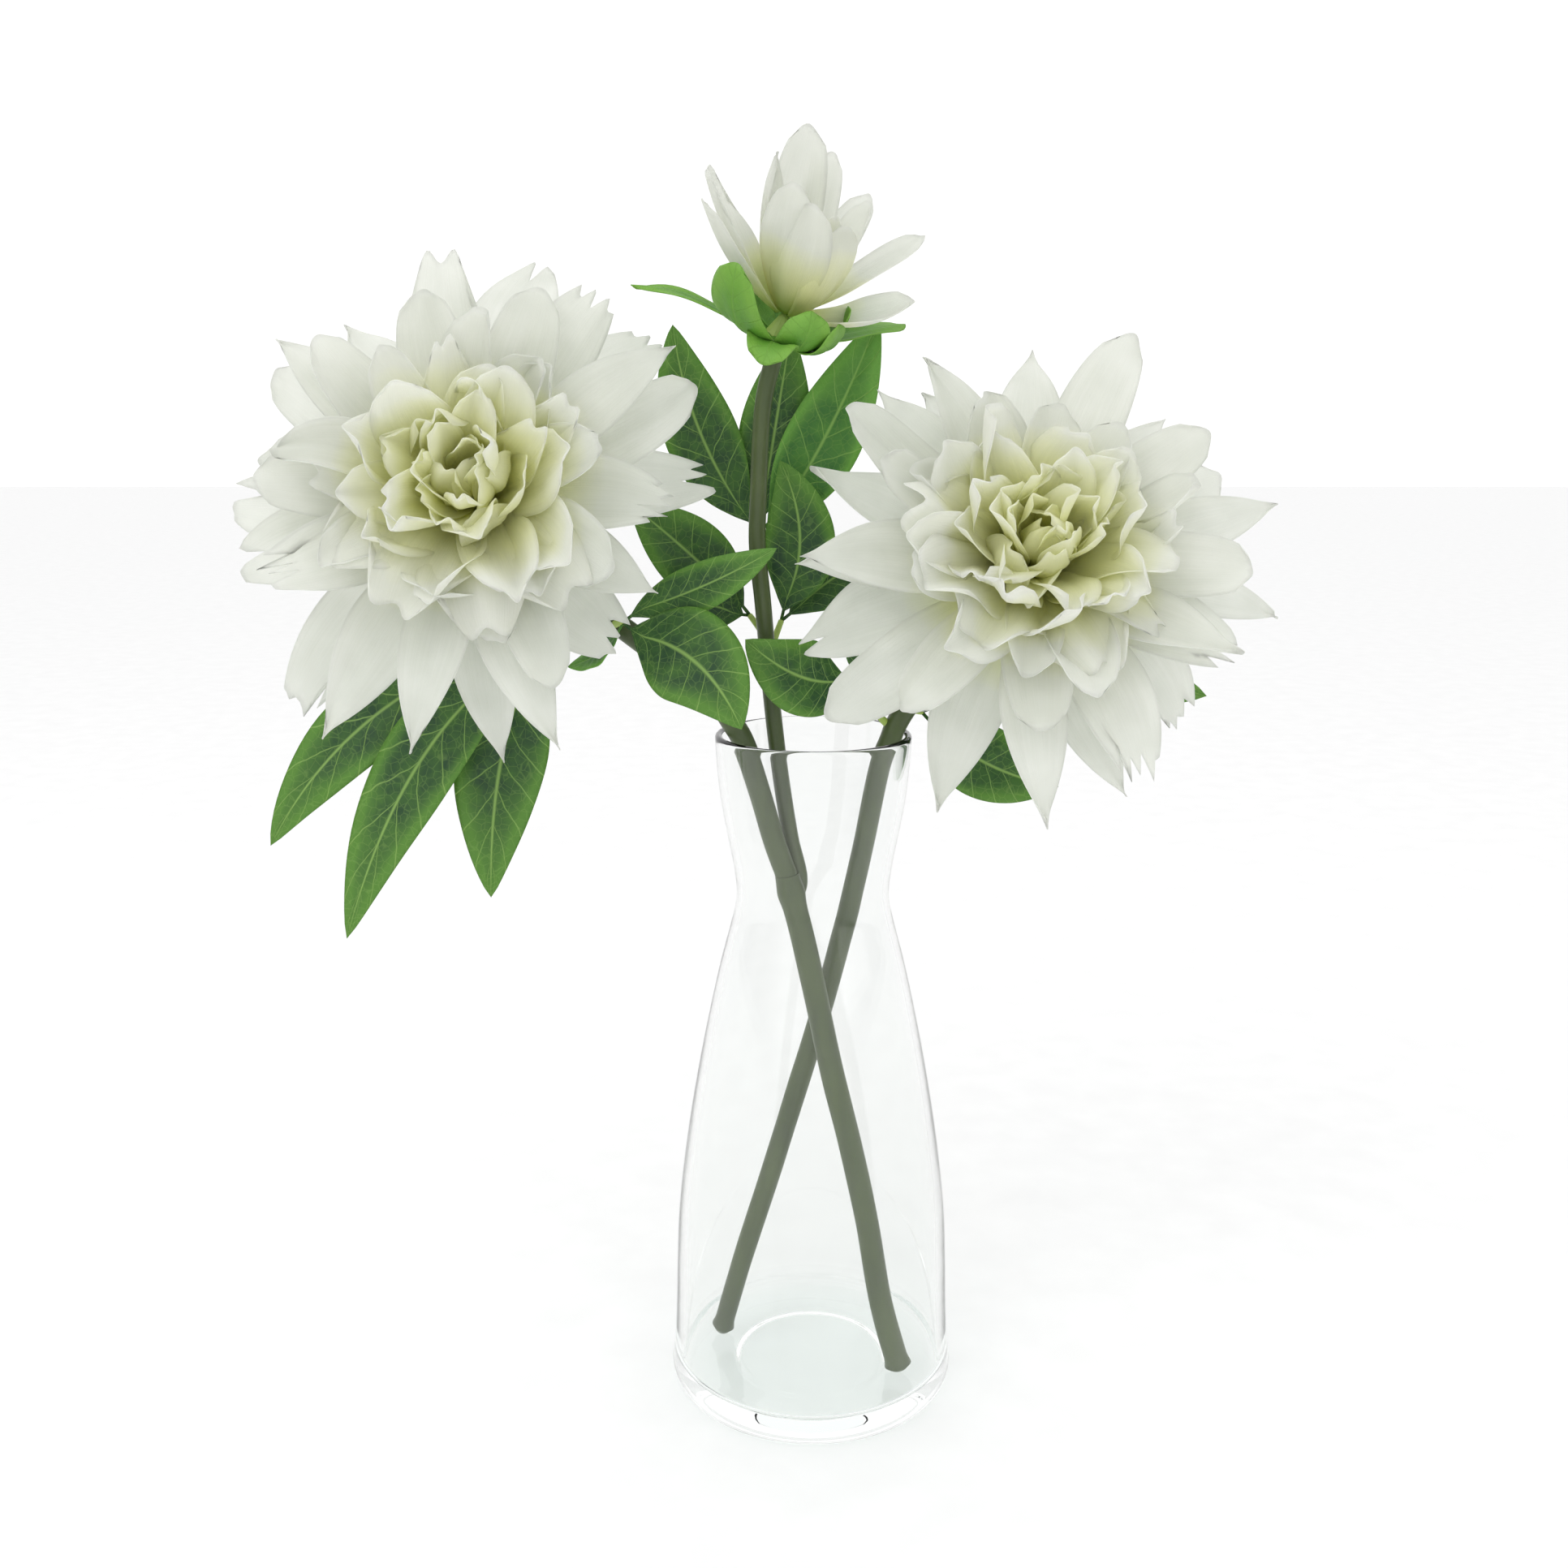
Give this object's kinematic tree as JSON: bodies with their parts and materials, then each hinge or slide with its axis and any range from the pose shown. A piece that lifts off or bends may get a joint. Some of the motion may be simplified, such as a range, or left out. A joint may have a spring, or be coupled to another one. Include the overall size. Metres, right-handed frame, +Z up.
{
  "type": "chrysanthemum in a glass vase",
  "caption": "Waisted clear glass vase holding cut artificial chrysanthemum stems with large open white blooms, a half-open bloom and green compound leaves.",
  "frame": {"origin": "centre of the vase's flat base, where it stands on a table", "axes": "+Z up along the vase's axis; -Y towards the side the open blooms face; +X to the right as seen from that side"},
  "size_m": [0.3563, 0.1441, 0.4627],
  "materials": {
    "clear_glass": "gloss",
    "stem_plastic": "satin",
    "petal_fabric": "matte",
    "leaf_fabric": "satin",
    "sepal_fabric": "satin",
    "green_plastic": "satin"
  },
  "bodies": {
    "root": {"glass_vase": "clear_glass", "forked_stem": "stem_plastic", "left_branch": "stem_plastic", "top_branch": "stem_plastic", "right_stem": "stem_plastic", "left_bloom_receptacle": "green_plastic", "left_bloom_petals_1": "petal_fabric", "left_bloom_petals_2": "petal_fabric", "left_bloom_petals_3": "petal_fabric", "left_bloom_petals_4": "petal_fabric", "left_bloom_petals_5": "petal_fabric", "left_bloom_petals_6": "petal_fabric", "left_bloom_petals_7": "petal_fabric", "left_bloom_petals_8": "petal_fabric", "left_bloom_calyx": "sepal_fabric", "right_bloom_receptacle": "green_plastic", "right_bloom_petals_1": "petal_fabric", "right_bloom_petals_2": "petal_fabric", "right_bloom_petals_3": "petal_fabric", "right_bloom_petals_4": "petal_fabric", "right_bloom_petals_5": "petal_fabric", "right_bloom_petals_6": "petal_fabric", "right_bloom_petals_7": "petal_fabric", "right_bloom_petals_8": "petal_fabric", "right_bloom_calyx": "sepal_fabric", "top_bloom_receptacle": "green_plastic", "top_bloom_petals_1": "petal_fabric", "top_bloom_petals_2": "petal_fabric", "top_bloom_petals_3": "petal_fabric", "top_bloom_petals_4": "petal_fabric", "top_bloom_petals_5": "petal_fabric", "top_bloom_calyx": "sepal_fabric", "lower_left_petiole": "green_plastic", "lower_left_leaflet_1": "leaf_fabric", "lower_left_leaflet_2": "leaf_fabric", "lower_left_leaflet_3": "leaf_fabric", "behind_top_petiole": "green_plastic", "behind_top_leaflet_1": "leaf_fabric", "behind_top_leaflet_2": "leaf_fabric", "behind_top_leaflet_3": "leaf_fabric", "behind_left_petiole": "green_plastic", "behind_left_leaflet_1": "leaf_fabric", "behind_left_leaflet_2": "leaf_fabric", "front_left_petiole": "green_plastic", "front_left_leaflet_1": "leaf_fabric", "front_left_leaflet_2": "leaf_fabric", "front_left_leaflet_3": "leaf_fabric", "behind_right_petiole": "green_plastic", "behind_right_leaflet_1": "leaf_fabric", "behind_right_leaflet_2": "leaf_fabric", "mouth_petiole": "green_plastic", "mouth_leaflet_1": "leaf_fabric", "mouth_leaflet_2": "leaf_fabric", "behind_bloom_petiole": "green_plastic", "behind_bloom_leaflet_1": "leaf_fabric", "behind_bloom_leaflet_2": "leaf_fabric", "behind_bloom_leaflet_3": "leaf_fabric"}
  },
  "joints": []
}
